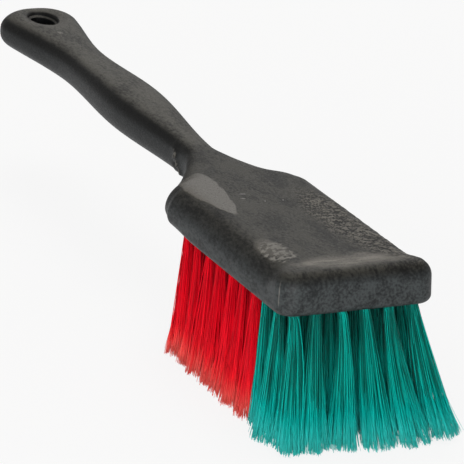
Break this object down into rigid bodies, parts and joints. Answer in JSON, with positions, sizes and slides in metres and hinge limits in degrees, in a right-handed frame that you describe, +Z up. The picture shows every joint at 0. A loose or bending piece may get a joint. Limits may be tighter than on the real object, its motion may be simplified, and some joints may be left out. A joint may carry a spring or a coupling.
{
  "type": "long-handled scrub brush",
  "caption": "Long-handled scrub brush: black moulded plastic head and contoured handle with a hanging hole, and long fanned bristle tufts, red behind and teal green at the front.",
  "frame": {"origin": "middle of the bounding box in plan, at the level of the bristle tips that the brush stands on", "axes": "+X from the handle to the front of the head, +Y across the head, +Z up from the bristle tips to the top of the head"},
  "size_m": [0.4342, 0.0948, 0.0867],
  "materials": {
    "body": "black moulded polypropylene with a faintly mottled, scuffed skin",
    "red_bristle": "deep red polyester filament, paler where the tips are frayed",
    "green_bristle": "teal green polyester filament, paler where the tips are frayed"
  },
  "bodies": {
    "root": {"brush_body": "body", "tuft_green_row01_1": "green_bristle", "tuft_green_row01_2": "green_bristle", "tuft_green_row01_3": "green_bristle", "tuft_green_row01_4": "green_bristle", "tuft_green_row01_5": "green_bristle", "tuft_green_row01_6": "green_bristle", "tuft_green_row02_1": "green_bristle", "tuft_green_row02_2": "green_bristle", "tuft_green_row02_3": "green_bristle", "tuft_green_row02_4": "green_bristle", "tuft_green_row02_5": "green_bristle", "tuft_green_row02_6": "green_bristle", "tuft_green_row03_1": "green_bristle", "tuft_green_row03_2": "green_bristle", "tuft_green_row03_3": "green_bristle", "tuft_green_row03_4": "green_bristle", "tuft_green_row03_5": "green_bristle", "tuft_green_row03_6": "green_bristle", "tuft_red_row04_1": "red_bristle", "tuft_red_row04_2": "red_bristle", "tuft_red_row04_3": "red_bristle", "tuft_red_row04_4": "red_bristle", "tuft_red_row04_5": "red_bristle", "tuft_red_row04_6": "red_bristle", "tuft_red_row05_1": "red_bristle", "tuft_red_row05_2": "red_bristle", "tuft_red_row05_3": "red_bristle", "tuft_red_row05_4": "red_bristle", "tuft_red_row05_5": "red_bristle", "tuft_red_row05_6": "red_bristle", "tuft_red_row06_1": "red_bristle", "tuft_red_row06_2": "red_bristle", "tuft_red_row06_3": "red_bristle", "tuft_red_row06_4": "red_bristle", "tuft_red_row06_5": "red_bristle", "tuft_red_row06_6": "red_bristle", "tuft_red_row07_1": "red_bristle", "tuft_red_row07_2": "red_bristle", "tuft_red_row07_3": "red_bristle", "tuft_red_row07_4": "red_bristle", "tuft_red_row07_5": "red_bristle", "tuft_red_row07_6": "red_bristle", "tuft_red_row08_1": "red_bristle", "tuft_red_row08_2": "red_bristle", "tuft_red_row08_3": "red_bristle", "tuft_red_row08_4": "red_bristle", "tuft_red_row08_5": "red_bristle", "tuft_red_row08_6": "red_bristle", "tuft_red_row09_1": "red_bristle", "tuft_red_row09_2": "red_bristle", "tuft_red_row09_3": "red_bristle", "tuft_red_row09_4": "red_bristle", "tuft_red_row09_5": "red_bristle", "tuft_red_row09_6": "red_bristle", "tuft_red_row10_1": "red_bristle", "tuft_red_row10_2": "red_bristle", "tuft_red_row10_3": "red_bristle", "tuft_red_row10_4": "red_bristle", "tuft_red_row10_5": "red_bristle"}
  },
  "joints": []
}
